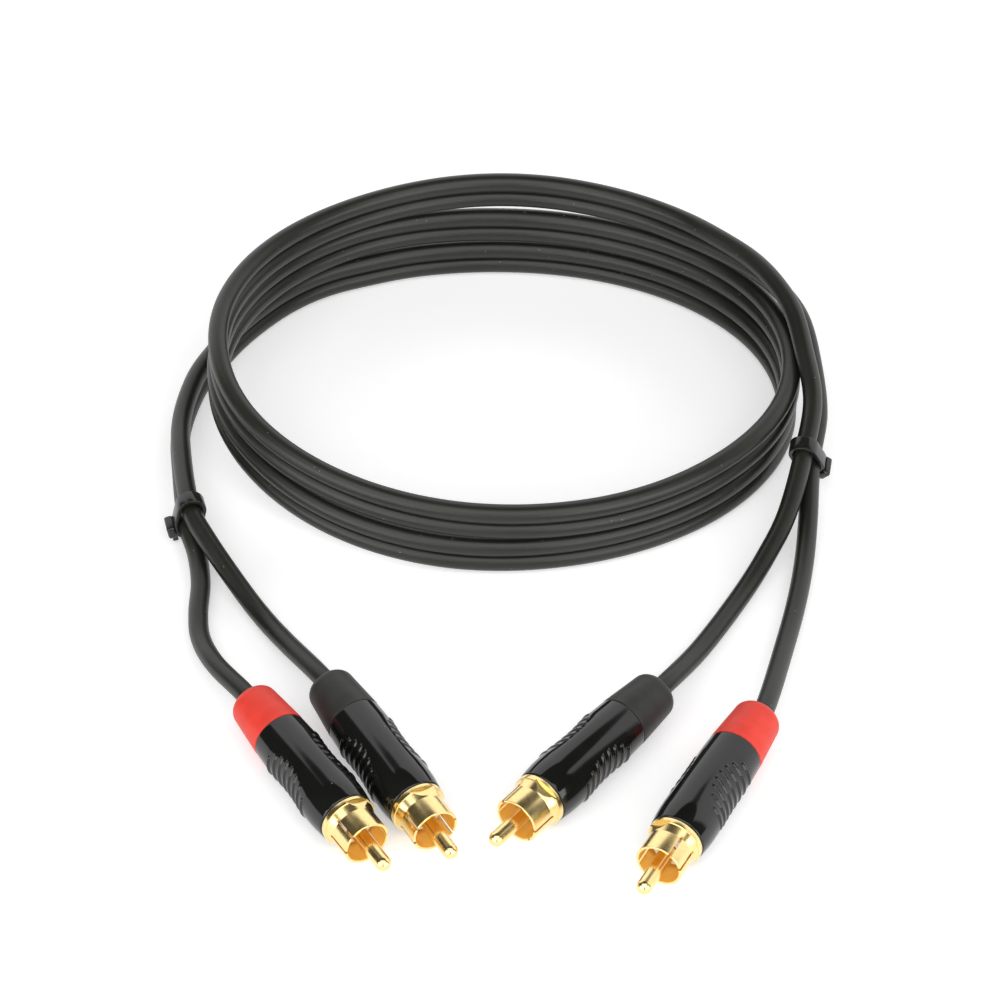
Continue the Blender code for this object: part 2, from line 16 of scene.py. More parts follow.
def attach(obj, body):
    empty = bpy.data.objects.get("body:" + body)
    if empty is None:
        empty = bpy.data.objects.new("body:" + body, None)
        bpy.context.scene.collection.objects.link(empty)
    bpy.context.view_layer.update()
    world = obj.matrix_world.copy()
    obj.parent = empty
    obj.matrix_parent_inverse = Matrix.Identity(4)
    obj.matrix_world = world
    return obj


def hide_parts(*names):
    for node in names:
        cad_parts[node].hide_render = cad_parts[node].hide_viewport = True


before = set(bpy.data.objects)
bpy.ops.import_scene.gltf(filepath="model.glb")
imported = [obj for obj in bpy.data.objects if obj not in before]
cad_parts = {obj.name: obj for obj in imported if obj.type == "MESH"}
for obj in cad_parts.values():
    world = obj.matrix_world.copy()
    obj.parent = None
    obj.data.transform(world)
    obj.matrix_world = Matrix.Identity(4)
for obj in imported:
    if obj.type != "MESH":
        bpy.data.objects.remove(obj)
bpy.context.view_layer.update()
MM = 0.001


# Camera
# A long lens from the front, looking down at the plugs and the coil behind
# them. Its place was worked out from the plugs, the cords and the oval.
camera = bpy.data.objects.new("camera", bpy.data.cameras.new("camera"))
bpy.context.scene.collection.objects.link(camera)
camera.location = (0.0, -0.5591, 0.5711)
camera.rotation_euler = (radians(90 - 42.9), 0, 0)
camera.data.lens, camera.data.sensor_width = 140.4, 36
camera.data.clip_end = 20
bpy.context.scene.camera = camera


# Cords
# Two round cords in soft black PVC, moulded side by side with a thin web
# between them. Each runs from its left plug through the left tie, two and a
# half turns of the coil and the right tie to its right plug.
CORD_D = 4.2 * MM
CORD_SPACING = 4.5 * MM                  # half the height from one turn to the next
PAIR_SPACING = 4.2 * MM                  # between the middles of the joined cords
WEB_THICK = 1.5 * MM
LAYOUT = Vector((0, 55.5, 0)) * MM       # where the layout's own origin lies
COIL_CENTRE = Vector((0.8, 27.8)) * MM   # middle of the oval, in the layout
COIL_HALF = Vector((62.7, 49.6)) * MM    # half its width and half its depth
TURN, COIL_STEP = 360, 10                # degrees
COIL_FROM, COIL_PEEL = 60, 130           # where the leads join it and come off it
CLIMB_FROM, CLIMB_ARC = 270, 90          # a turn climbs onto the one below here
TOP_LIFT = 0.35 * MM                     # the last turn arches at the back
TOP_AT, TOP_REACH = 808, 30
AXIS_HEIGHT = 6.2 * MM                   # a plug's middle over the surface
CORD_STOP, COLLAR_END = 25.0 * MM, 37.8 * MM    # behind the housing's front
TAIL_POINTS = 3                          # of a cord, inside its plug
SMOOTH_STEPS = 8                         # finer points for each route point

# How far a turn strays outward from the oval, in millimetres, by its degrees
# from the left over the back, counted on from the first turn to the last.
COIL_WANDER = {60: 1.6, 90: 0.1, 150: 0.0, 215: -1.0, 270: -0.6, 310: 0.8, 365: -0.3,
               420: 1.7, 450: 0.4, 480: 0.0, 510: 0.5, 550: -0.3, 580: -1.0,
               610: -0.6, 640: -1.0, 685: 0.2, 720: -1.0, 765: 0.0, 810: 1.3,
               850: -0.3}

# Front face of each plug's housing in millimetres in the layout, and in degrees
# the heading of its tail, the turn of its housing and the turn of its contact.
PLUGS = {
    "left_red": ((-30.1, -98.0), 122.3, -7.0, 24.0),
    "left_black": ((-16.5, -94.5), 119.2, -4.0, 10.0),
    "right_black": ((8.2, -92.6), 51.0, 14.0, 22.0),
    "right_red": ((34.4, -103.5), 61.8, -17.0, -38.0),
}
# Points of each lead from the coil to its plug, in millimetres in the layout.
LEADS = {
    "left_black": [(-38.8, 69.0, 6.7), (-45.5, 64.7, 6.7), (-51.8, 58.7, 6.7),
                   (-58.4, 50.1, 6.7), (-64.3, 39.4, 6.7), (-67.4, 30.9, 6.7),
                   (-69.2, 18.4, 6.8), (-68.3, 5.4, 7.8), (-65.4, -11.3, 8.5),
                   (-61.5, -19.6, 6.6), (-54.0, -30.9, 3.2),
                   (-48.9, -38.6, 2.2), (-43.7, -46.9, 3.2)],
    "left_red": [(-38.8, 69.0, 2.2), (-45.5, 64.7, 2.2), (-51.8, 58.7, 2.2),
                 (-58.4, 50.1, 2.2), (-64.3, 39.3, 2.2), (-67.5, 30.9, 2.2),
                 (-69.6, 18.4, 2.3), (-68.6, 5.4, 3.3), (-66.4, -11.5, 4.1),
                 (-63.9, -19.8, 2.8), (-62.7, -28.0, 2.2),
                 (-62.7, -37.0, 2.2), (-61.7, -44.8, 2.5),
                 (-58.1, -53.9, 4.2)],
    "right_black": [(47.7, 59.6, 24.7), (55.0, 52.4, 24.4), (60.0, 45.3, 23.6),
                    (63.8, 37.2, 22.1), (65.7, 27.4, 19.4),
                    (67.2, 15.1, 15.7), (64.9, 2.9, 11.9), (60.9, -11.4, 7.0),
                    (56.1, -21.5, 4.2), (50.1, -32.2, 2.3),
                    (41.1, -48.5, 3.2)],
    "right_red": [(48.5, 59.9, 20.4), (56.4, 53.0, 20.3), (61.8, 46.2, 19.9),
                  (65.9, 38.0, 18.5), (67.9, 27.7, 15.3),
                  (68.7, 15.4, 11.4), (66.7, 3.8, 7.9), (65.4, -10.8, 4.4),
                  (64.1, -21.4, 2.6), (62.0, -32.8, 2.2),
                  (58.7, -46.8, 3.0)],
}
LEFT_TIE, RIGHT_TIE = 8, 6     # route points that the ties close on


def plug_axis(name):
    """Middle of a plug's front face, and the direction of its tail."""
    (x, y), heading, _, _ = PLUGS[name]
    angle = radians(heading)
    front = Vector((x * MM, y * MM, AXIS_HEIGHT)) + LAYOUT
    return front, Vector((cos(angle), sin(angle), 0))


def climb(degrees):
    """How high a turn has risen onto the one below."""
    share = min(max((degrees - CLIMB_FROM) / CLIMB_ARC, 0), 1)
    return 2 * CORD_SPACING * share * share * (3 - 2 * share)


def wander(degrees):
    """How far a turn strays outward here, smooth between the marks."""
    marks = sorted(COIL_WANDER)
    index = max(i for i, mark in enumerate(marks[:-1]) if mark <= degrees)

    def slope(i):
        before, after = marks[max(i - 1, 0)], marks[min(i + 1, len(marks) - 1)]
        return (COIL_WANDER[after] - COIL_WANDER[before]) / (after - before)

    start, end = marks[index], marks[index + 1]
    t = (degrees - start) / (end - start)
    return MM * ((2 * t - 3) * t * t * (COIL_WANDER[start] - COIL_WANDER[end]) +
                 COIL_WANDER[start] + (end - start) * t * (1 - t) *
                 (slope(index) * (1 - t) - slope(index + 1) * t))


def coil_point(degrees, colour):
    """Point of a cord in the coil, in degrees from the left over the back."""
    angle = radians(degrees)
    level = CORD_SPACING if colour == "black" else 0
    lift = TOP_LIFT * max(0, 1 - ((degrees - TOP_AT) / TOP_REACH) ** 2) ** 2
    out = Vector((-cos(angle) * COIL_HALF.y, sin(angle) * COIL_HALF.x, 0)).normalized()
    return LAYOUT + out * wander(degrees) + Vector((
        COIL_CENTRE.x - COIL_HALF.x * cos(angle),
        COIL_CENTRE.y + COIL_HALF.y * sin(angle),
        CORD_D / 2 + level + lift + climb(degrees) + climb(degrees - TURN)))


def tail(side, colour):
    """Points of a cord inside its plug, from its stop to outside the collar."""
    front, back = plug_axis(f"{side}_{colour}")
    return [front + back * CORD_STOP, front + back * (CORD_STOP + COLLAR_END) / 2,
            front + back * (COLLAR_END + CORD_D / 2)]


def route(colour):
    """Route points of one cord, from the left plug to the right one, and the
    numbers of the points at the two ties."""
    left, right = ([Vector(point) * MM + LAYOUT for point in LEADS[f"{side}_{colour}"]]
                   for side in ("left", "right"))
    turns = [coil_point(degrees, colour)
             for degrees in range(COIL_FROM, 2 * TURN + COIL_PEEL + 1, COIL_STEP)]
    points = tail("left", colour) + left[::-1] + turns + right
    first = TAIL_POINTS + len(left) - 1 - LEFT_TIE
    last = TAIL_POINTS + len(left) + len(turns) + RIGHT_TIE
    return points + tail("right", colour)[::-1], first, last


def smooth(points, steps=SMOOTH_STEPS):
    """Finer points on a smooth curve through the points."""
    guide = [2 * points[0] - points[1]] + points + [2 * points[-1] - points[-2]]
    fine = []
    for a, b, c, d in zip(guide, guide[1:], guide[2:], guide[3:]):
        for i in range(steps):
            t = i / steps
            fine.append(0.5 * (2 * b + (c - a) * t + (2 * a - 5 * b + 4 * c - d) * t ** 2 +
                               (3 * b - a - 3 * c + d) * t ** 3))
    return fine + [points[-1]]


def length(points):
    """Length of a run of straight steps."""
    return sum((b - a).length for a, b in zip(points, points[1:]))


def shell(vertices, faces):
    """A closed mesh from its points and faces, with no point there twice."""
    mesh = bpy.data.meshes.new("shell")
    mesh.from_pydata([tuple(v) for v in vertices], [], [tuple(f) for f in faces])
    bm = bmesh.new()
    bm.from_mesh(mesh)
    bmesh.ops.remove_doubles(bm, verts=bm.verts, dist=0.001 * MM)
    bmesh.ops.recalc_face_normals(bm, faces=bm.faces)
    bm.to_mesh(mesh)
    bm.free()
    return mesh


def add(name, mesh, finish, place=Matrix(), shade=50):
    """Adds a piece that rides on the cable, shaded smooth."""
    mesh.shade_smooth()
    mesh.set_sharp_from_angle(angle=radians(shade))
    if not mesh.materials:
        mesh.materials.append(finish)
    piece = bpy.data.objects.new(name, mesh)
    bpy.context.scene.collection.objects.link(piece)
    piece.matrix_world = place
    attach(piece, "root")
    return piece


def stacked(rings, closed=True):
    """Points and faces over a stack of rings. Closed, the last ring meets the first."""
    size = len(rings[0])
    faces = []
    for i in range(len(rings) - (0 if closed else 1)):
        one, other = i * size, (i + 1) % len(rings) * size
        faces += [(one + k, one + (k + 1) % size, other + (k + 1) % size, other + k)
                  for k in range(size)]
    return [point for ring in rings for point in ring], faces


def tube(path, radius, sides=24):
    """A round tube with closed ends along a path."""
    rings = []
    side = Vector((0, 0, 1))
    for i, point in enumerate(path):
        along = (path[min(i + 1, len(path) - 1)] - path[max(i - 1, 0)]).normalized()
        side = (side - along * side.dot(along)).normalized()
        other = along.cross(side)
        rings.append([point + (side * cos(2 * pi * k / sides) +
                               other * sin(2 * pi * k / sides)) * radius
                      for k in range(sides)])
    points, faces = stacked(rings, closed=False)
    return shell(points, faces + [range(sides), range(len(points) - sides, len(points))])


class Flow:
    """A value, colour or vector on its way through a material's nodes."""

    def __init__(self, tree, socket=None):
        self.tree, self.socket = tree, socket

    def node(self, kind, settings=None, values=None, output=0):
        """A new node: its settings first, then the values or links of its sockets."""
        made = self.tree.nodes.new("ShaderNode" + kind)
        for name, setting in (settings or {}).items():
            setattr(made, name, setting)
        for name, value in (values or {}).items():
            if isinstance(value, Flow):
                self.tree.links.new(value.socket, made.inputs[name])
            else:
                made.inputs[name].default_value = value
        return Flow(self.tree, made.outputs[output] if len(made.outputs) else None)

    def maths(self, operation, *terms):
        """A Math node on values and numbers."""
        return self.node("Math", {"operation": operation}, dict(enumerate(terms)))

    def __add__(self, other):
        return self.maths("ADD", self, other)

    def __sub__(self, other):
        return self.maths("SUBTRACT", self, other)

    def __rsub__(self, other):
        return self.maths("SUBTRACT", other, self)

    def __mul__(self, other):
        return self.maths("MULTIPLY", self, other)

    def __gt__(self, other):
        return self.maths("GREATER_THAN", self, other)

    def __lt__(self, other):
        return self.maths("LESS_THAN", self, other)

    def ramp(self, low, high):
        """0 at low, 1 at high, smooth between."""
        return self.node("MapRange", {"interpolation_type": "SMOOTHSTEP"},
                         {"Value": self, "From Min": low, "From Max": high})

    def blend(self, one, other):
        """Colour one where this value is 0, the other where it is 1."""
        return self.node("Mix", {"data_type": "RGBA"}, {0: self, 6: one, 7: other}, 2)

    __radd__, __rmul__ = __add__, __mul__


def start_finish(name):
    """A new material, and its flow."""
    material = bpy.data.materials.new(name)
    material.use_nodes = True
    material.node_tree.nodes.clear()
    return material, Flow(material.node_tree)


def end_finish(flow, bump=None, bump_depth=0.0, **values):
    """Closes a material with its shader. Bump depth is in metres."""
    named = {key.replace("_", " ").title(): value for key, value in values.items()}
    if bump:
        named["Normal"] = flow.node("Bump", None, {"Strength": 1.0, "Distance": bump_depth,
                                                   "Height": bump})
    shader = flow.node("BsdfPrincipled", None, named)
    flow.node("OutputMaterial", None, {"Surface": shader})


def noise(flow, where, scale, detail=2.0):
    """Soft random change from place to place, 0 to 1."""
    return flow.node("TexNoise", None, {"Vector": where, "Scale": scale, "Detail": detail})


def specks(flow, where, scale, size, share):
    """Scattered dots: 1 on a dot. Share is how many of the cells hold one."""
    distance, colour = (flow.node("TexVoronoi", {"feature": "F1"},
                                  {"Vector": where, "Scale": scale}, output)
                        for output in (0, 1))
    pick = flow.node("SeparateColor", None, {"Color": colour}) < share
    return pick * (1 - distance.ramp(size * 0.6, size))


jacket, flow = start_finish("cord_jacket")
where = flow.node("TexCoord", output=3)
grain = noise(flow, where, 2600)
patch = noise(flow, where, 60, 3)
dust = specks(flow, where, 900, 0.16, 0.05)
end_finish(flow, bump=grain * 0.6 + patch * 0.4, bump_depth=0.00002,
           base_color=(dust * 0.6).blend(
               patch.ramp(0.3, 0.7).blend((0.0080, 0.0080, 0.0050, 1),
                                          (0.0124, 0.0122, 0.0080, 1)),
               (0.2, 0.2, 0.185, 1)),
           roughness=patch * 0.1 + grain * 0.06 + 0.3)

routes = {colour: route(colour) for colour in ("black", "red")}
upper, first, last = routes["black"]
lower, low_first, _ = routes["red"]
for i in range(first, last + 1):    # moulded together from tie to tie
    base = lower[i - first + low_first]
    upper[i] = base + (upper[i] - base).normalized() * PAIR_SPACING

paths, strand = {}, {}
for colour, (points, first, last) in routes.items():
    paths[colour] = smooth(points), first, last
    strand[colour] = add(f"{colour}_cord", tube(paths[colour][0], CORD_D / 2),
                         jacket)

rings = []
spans = [path[first * SMOOTH_STEPS:last * SMOOTH_STEPS + 1]
         for path, first, last in paths.values()]
for i, (upper, lower) in enumerate(zip(*spans)):
    following = spans[0][min(i + 1, len(spans[0]) - 1)] - spans[0][max(i - 1, 0)]
    out = following.cross(upper - lower).normalized() * WEB_THICK / 2
    inset = (upper - lower).normalized() * CORD_D / 4
    rings.append([upper - inset + out, lower + inset + out,
                  lower + inset - out, upper - inset - out])
points, faces = stacked(rings, closed=False)
ends = [range(4), range(len(points) - 4, len(points))]
web = add("cord_web", shell(points, faces + ends), jacket)
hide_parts("cable_coil", "left_black_lead", "right_black_lead")
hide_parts("left_red_lead", "right_red_lead")


# Cable ties
# Black nylon ties hold the two cords together where they split. Each is one
# moulding: a flat strap, drawn tight through a small head and cut short.
TIE_WIDTH, TIE_THICK, TIE_ROOM, TIE_EDGE = 3.2 * MM, 0.9 * MM, 0.12 * MM, 0.14 * MM
TIE_HEAD, HEAD_EDGE = Vector((1.9, 3.0, 4.4)) * MM, 0.55 * MM    # outward, round, along
TIE_TAIL, TAIL_EDGE = Vector((1.2, 3.2, 2.6)) * MM, 0.2 * MM
CORNER_POINTS, BEND_POINTS = 4, 17           # of the strap's section and of its bends
TIES = {"left": (LEFT_TIE, 68.0), "right": (RIGHT_TIE, -32.0)}   # point, head's angle


def block(size, place, edge, steps=4):
    """A rounded block."""
    bm = bmesh.new()
    bmesh.ops.create_cube(bm, size=1.0)
    bmesh.ops.scale(bm, vec=size, verts=bm.verts)
    if edge:
        bmesh.ops.bevel(bm, geom=bm.edges[:], offset=edge, segments=steps,
                        profile=0.5, affect="EDGES")
    bmesh.ops.transform(bm, matrix=place, verts=bm.verts)
    mesh = bpy.data.meshes.new("block")
    bm.to_mesh(mesh)
    bm.free()
    return mesh


def worked(mesh, *steps):
    """The mesh after each (operation, tool) has joined or cut it."""
    blank = bpy.data.objects.new("blank", mesh)
    helpers = [blank]
    bpy.context.scene.collection.objects.link(blank)
    for operation, tool_mesh in steps:
        tool = bpy.data.objects.new("tool", tool_mesh)
        bpy.context.scene.collection.objects.link(tool)
        helpers.append(tool)
        step = blank.modifiers.new(operation, "BOOLEAN")
        step.operation, step.solver, step.object = operation, "EXACT", tool
    done = bpy.data.meshes.new_from_object(
        blank.evaluated_get(bpy.context.evaluated_depsgraph_get()))
    for helper in helpers:
        bpy.data.objects.remove(helper, do_unlink=True)
    return done


def tie_shape(head_angle):
    """Strap round both cords, the upper at +X, with its head on the lower."""
    inner = CORD_D / 2 + TIE_ROOM
    section = []
    for across, out, turn in ((1, 1, 0), (-1, 1, 90), (-1, -1, 180), (1, -1, 270)):
        for step in range(CORNER_POINTS):
            angle = radians(turn + 90 * step / (CORNER_POINTS - 1))
            section.append((across * (TIE_WIDTH / 2 - TIE_EDGE) + TIE_EDGE * cos(angle),
                            inner + TIE_THICK / 2 + out * (TIE_THICK / 2 - TIE_EDGE) +
                            TIE_EDGE * sin(angle)))
    rings = []
    for end in (1, -1):
        for step in range(BEND_POINTS):
            angle = radians(-90 + 180 * step / (BEND_POINTS - 1)) + (0 if end == 1 else pi)
            rings.append([(end * CORD_SPACING / 2 + out * cos(angle), out * sin(angle),
                           across) for across, out in section])
    side = 1 if head_angle > 0 else -1
    seat = (Matrix.Translation((-CORD_SPACING / 2, 0, 0)) @
            Matrix.Rotation(pi - radians(head_angle), 4, "Z") @
            Matrix.Translation((inner + TIE_THICK / 2, 0, 0)))
    head = block(TIE_HEAD, seat @ Matrix.Translation((TIE_HEAD.x / 2, 0, 0)), HEAD_EDGE)
    cut_end = block(TIE_TAIL, seat @ Matrix.Translation(
        (TIE_TAIL.x / 2, side * TIE_HEAD.y / 2, 0)), TAIL_EDGE, 2)
    return worked(shell(*stacked(rings)), ("UNION", head), ("UNION", cut_end))


nylon, flow = start_finish("tie_nylon")
where = flow.node("TexCoord", output=3)
grain = noise(flow, where, 1800)
drawn = noise(flow, flow.node("VectorMath", {"operation": "MULTIPLY"},
                              {0: where, 1: (300, 300, 5000)}), 1)
end_finish(flow, bump=grain * 0.5 + drawn * 0.5, bump_depth=0.000003,
           base_color=grain.ramp(0.3, 0.75).blend((0.008, 0.008, 0.0075, 1),
                                                  (0.014, 0.014, 0.013, 1)),
           roughness=grain * 0.1 + 0.14)

for side, (index, head_angle) in TIES.items():
    upper, lower = (Vector(LEADS[f"{side}_{colour}"][index]) * MM
                    for colour in ("black", "red"))
    run = sum((Vector(LEADS[f"{side}_{colour}"][index + 1]) -
               Vector(LEADS[f"{side}_{colour}"][index - 1])
               for colour in ("black", "red")), Vector())
    across = (upper - lower).normalized()
    along = (run - across * run.dot(across)).normalized()
    turned = Matrix((across, along.cross(across), along)).transposed().to_4x4()
    tie = add(f"{side}_cable_tie", tie_shape(head_angle), nylon,
              Matrix.Translation((upper + lower) / 2 + LAYOUT) @ turned)
    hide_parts(f"{side}_tie")


# Plug housings
# Glossy black moulded shells, widest near the pin. Each has a shallow thumb
# scoop on two sides, with eight thin raised ribs in it that bow to the pin.
HOUSING_LENGTH = 25.7 * MM
HOUSING_FRONT_R, HOUSING_BULGE_R, HOUSING_REAR_R = 5.75 * MM, 6.2 * MM, 5.8 * MM
BULGE_FROM, BULGE_TO = 5.0 * MM, 9.0 * MM
HOUSING_BORE_R = 4.6 * MM
FRONT_EDGE, REAR_EDGE = 0.25 * MM, 0.15 * MM
SCOOP_CENTRE, SCOOP_LENGTH, SCOOP_DEPTH = 14.0 * MM, 15.0 * MM, 0.65 * MM
SCOOP_REACH = radians(62)      # each way round from the middle of a scoop
SCOOP_SOFT = 1.4               # how gently a scoop runs out at its rim
RIBS, RIB_CENTRE, RIB_PITCH = 8, 14.5 * MM, 1.9 * MM
RIB_HALF, RIB_HEIGHT, RIB_BOW = 0.42 * MM, 0.36 * MM, 0.8 * MM
RIB_REACH = radians(57)
RIB_OVAL = 4.07                # ribs from the middle to where none would be left
RIB_ROUND, RIB_FADE = 0.7, 0.45    # bluntness of a rib's back, loss of height at its ends
FINE_STEP, FINE_STEPS = radians(1.5), 41      # mesh lines round each scoop
PLAIN_STEP, PLAIN_STEPS = radians(4), 6       # and round each plain face
EDGE_STEPS = 4
ROWS = ((0.6 * MM, 5.8 * MM, 12), (5.9 * MM, 22.6 * MM, 140), (23.1 * MM, 25.4 * MM, 5))


def plug_place(name, turn=0.0):
    """Where a plug's own drawing goes, turned about its axis from upright."""
    front, _ = plug_axis(name)
    return (Matrix.Translation(front) @ Matrix.Rotation(radians(PLUGS[name][1]), 4, "Z") @
            Matrix.Rotation(pi / 2, 4, "Y") @ Matrix.Rotation(pi + radians(turn), 4, "Z"))


def housing_radius(height, angle):
    """Outside radius, with the scoops and ribs. Angle 0 is the plain face."""
    radius = HOUSING_BULGE_R
    if height < BULGE_FROM:
        radius -= (HOUSING_BULGE_R - HOUSING_FRONT_R) * (1 - height / BULGE_FROM) ** 2
    elif height > BULGE_TO:
        radius -= ((HOUSING_BULGE_R - HOUSING_REAR_R) *
                   ((height - BULGE_TO) / (HOUSING_LENGTH - BULGE_TO)) ** 2)
    off = min(abs(angle - pi / 2), abs(angle - 3 * pi / 2))
    scoop = 1 - ((height - SCOOP_CENTRE) / (SCOOP_LENGTH / 2)) ** 2
    if scoop > 0 and off < SCOOP_REACH:
        radius -= SCOOP_DEPTH * (scoop * (1 - (off / SCOOP_REACH) ** 2)) ** SCOOP_SOFT
    line = (height + RIB_BOW * (1 - (off / RIB_REACH) ** 2) - RIB_CENTRE) / RIB_PITCH
    rib = min(max(round(line + (RIBS - 1) / 2), 0), RIBS - 1) - (RIBS - 1) / 2
    end = RIB_REACH * sqrt(1 - (rib / RIB_OVAL) ** 2)
    across = (line - rib) * RIB_PITCH / RIB_HALF
    beyond = max(0, (off - end) * radius / RIB_HALF + 1)
    body = 1 - across ** 2 - beyond ** 2
    if body > 0:
        radius += RIB_HEIGHT * body ** RIB_ROUND * (1 - RIB_FADE * (off / end) ** 2)
    for inset, edge in ((height, FRONT_EDGE), (HOUSING_LENGTH - height, REAR_EDGE)):
        if inset < edge:
            radius -= edge - sqrt(max(0, edge ** 2 - (edge - inset) ** 2))
    return radius


angles = sorted([middle + FINE_STEP * step for middle in (pi / 2, 3 * pi / 2)
                 for step in range(-FINE_STEPS, FINE_STEPS + 1)] +
                [middle + PLAIN_STEP * step for middle in (0, pi)
                 for step in range(-PLAIN_STEPS, PLAIN_STEPS + 1)])
rounding = [1 - cos(pi / 2 * i / EDGE_STEPS) for i in range(EDGE_STEPS + 1)]
heights = [FRONT_EDGE * share for share in rounding]
for start, end, rows in ROWS:        # close together where the ribs are
    heights += list(np.linspace(start, end, rows))
heights += [HOUSING_LENGTH - REAR_EDGE * share for share in rounding[::-1]]
rings = [[(HOUSING_BORE_R, angle, 0) for angle in angles]]
rings += [[(housing_radius(height, angle % (2 * pi)), angle, height) for angle in angles]
          for height in heights]
rings += [[(HOUSING_BORE_R, angle, HOUSING_LENGTH) for angle in angles]]
housing = shell(*stacked([[(radius * cos(angle), radius * sin(angle), height)
                           for radius, angle, height in ring] for ring in rings]))

gloss_black, flow = start_finish("housing_gloss")
where = flow.node("TexCoord", output=3)
spot = flow.node("NewGeometry")
peel = noise(flow, where, 700)
haze = noise(flow, where, 120, 4)
dust = specks(flow, spot, 700, 0.1, 0.012)
end_finish(flow, bump=peel, bump_depth=0.0000015,
           base_color=(dust * 0.7).blend(
               haze.ramp(0.3, 0.75).blend((0.0055, 0.0055, 0.005, 1),
                                          (0.0085, 0.0085, 0.008, 1)),
               (0.3, 0.3, 0.29, 1)),
           roughness=haze * 0.06 + dust * 0.3 + 0.055)

plug_pieces = {name: [] for name in PLUGS}
for name, (_, _, housing_turn, _) in PLUGS.items():
    piece = add(f"{name}_plug_housing", housing, gloss_black,
                plug_place(name, housing_turn), 75)
    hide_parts(f"{name}_housing")
    plug_pieces[name].append(piece)


# Rear collars
# Red or black matt plastic caps that screw into the housings and close the
# clamp on the cord. Their colour tells the two channels apart.
COLLAR_FRONT, COLLAR_FRONT_R, COLLAR_REAR_R = 25.85 * MM, 5.8 * MM, 5.0 * MM
COLLAR_ROUND, COLLAR_NECK, COLLAR_NECK_R = 2.2 * MM, 21.7 * MM, 4.3 * MM
COLLAR_BORE_R, COLLAR_FLOOR, COLLAR_HOLE_R = 3.6 * MM, 34.6 * MM, 2.4 * MM
COLLAR_EDGE, HOLE_EDGE = 0.2 * MM, 0.3 * MM
COLLAR_COLOURS = {"red": ((0.68, 0.032, 0.016, 1), (0.76, 0.045, 0.024, 1)),
                  "black": ((0.014, 0.014, 0.0125, 1), (0.021, 0.021, 0.019, 1))}


def arc(radius, height, size, start, end, steps=6):
    """Points of a rounded corner in an outline, from its centre and size."""
    return [(radius + size * cos(radians(start + (end - start) * i / steps)),
             height + size * sin(radians(start + (end - start) * i / steps)))
            for i in range(steps + 1)]


def turned_shape(outline, sides=96):
    """Spins a closed outline of (radius, height) points about Z."""
    return shell(*stacked([[(radius * cos(2 * pi * k / sides),
                             radius * sin(2 * pi * k / sides), height)
                            for k in range(sides)] for radius, height in outline]))


collar_outline = (
    [(COLLAR_BORE_R, COLLAR_NECK), (COLLAR_NECK_R, COLLAR_NECK),
     (COLLAR_NECK_R, COLLAR_FRONT)] +
    arc(COLLAR_FRONT_R - COLLAR_EDGE, COLLAR_FRONT + COLLAR_EDGE, COLLAR_EDGE, -90, 0) +
    arc(COLLAR_REAR_R - COLLAR_ROUND, COLLAR_END - COLLAR_ROUND, COLLAR_ROUND, 0, 90, 14) +
    arc(COLLAR_HOLE_R + HOLE_EDGE, COLLAR_END - HOLE_EDGE, HOLE_EDGE, 90, 180) +
    [(COLLAR_HOLE_R, COLLAR_FLOOR), (COLLAR_BORE_R, COLLAR_FLOOR)])

for colour, (deep, light) in COLLAR_COLOURS.items():
    matt, flow = start_finish(f"{colour}_collar_matt")
    where = flow.node("TexCoord", output=3)
    spark = noise(flow, where, 4200)
    cloud = noise(flow, where, 260, 3)
    end_finish(flow, bump=spark * 0.7 + cloud * 0.3, bump_depth=0.00001,
               base_color=cloud.ramp(0.3, 0.72).blend(deep, light),
               roughness=spark * 0.12 + 0.42)
    collar = turned_shape(collar_outline)
    for side in ("left", "right"):
        name = f"{side}_{colour}"
        piece = add(f"{name}_plug_collar", collar, matt, plug_place(name))
        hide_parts(f"{name}_collar")
        plug_pieces[name].append(piece)


# Gold contacts
# Turned brass, plated with gold. Two saw cuts make four spring fingers of a
# thin sleeve, which grows into a cone with two flats and a shoulder flange.
SLEEVE_R, SLEEVE_WALL, SLEEVE_RIM, SLEEVE_FLOOR = 4.85 * MM, 0.55 * MM, -8.0 * MM, -2.0 * MM
CONE_FRONT, CONE_BACK, FLANGE_R, FLANGE_BACK = -3.1 * MM, -1.45 * MM, 5.65 * MM, -0.15 * MM
CONE_STEP, FLANGE_EDGE, SHOULDER_EDGE = 0.25 * MM, 0.12 * MM, 0.15 * MM
FLAT_TO_FLAT, FLAT_BACK, FLAT_LENGTH = 9.9 * MM, -0.9 * MM, 4 * MM
SPIGOT_R, SPIGOT_END, CONTACT_BORE_R = 4.3 * MM, 6.0 * MM, 3.0 * MM
SLOT_WIDTH, SLOT_END, SAW_DEPTH, SAW_ANGLE = 0.6 * MM, -2.6 * MM, 12 * MM, radians(67)
RIM_EDGE = 0.12 * MM
PIN_R = 1.6 * MM
PAINTED_BOUNCE_GOLD, PAINTED_BOUNCE_GOLD_LIGHT = (1.0, 0.58, 0.1, 1), (1.0, 0.64, 0.15, 1)    # amber painted inside the sleeve: painted reflection of light bouncing there
PALE_GOLD, PALE_GOLD_LIGHT = (0.93, 0.70, 0.30, 1), (0.96, 0.75, 0.36, 1)
INSIDE_ROOM = 0.1 * MM         # from the pin and the floor to the painted amber reflection
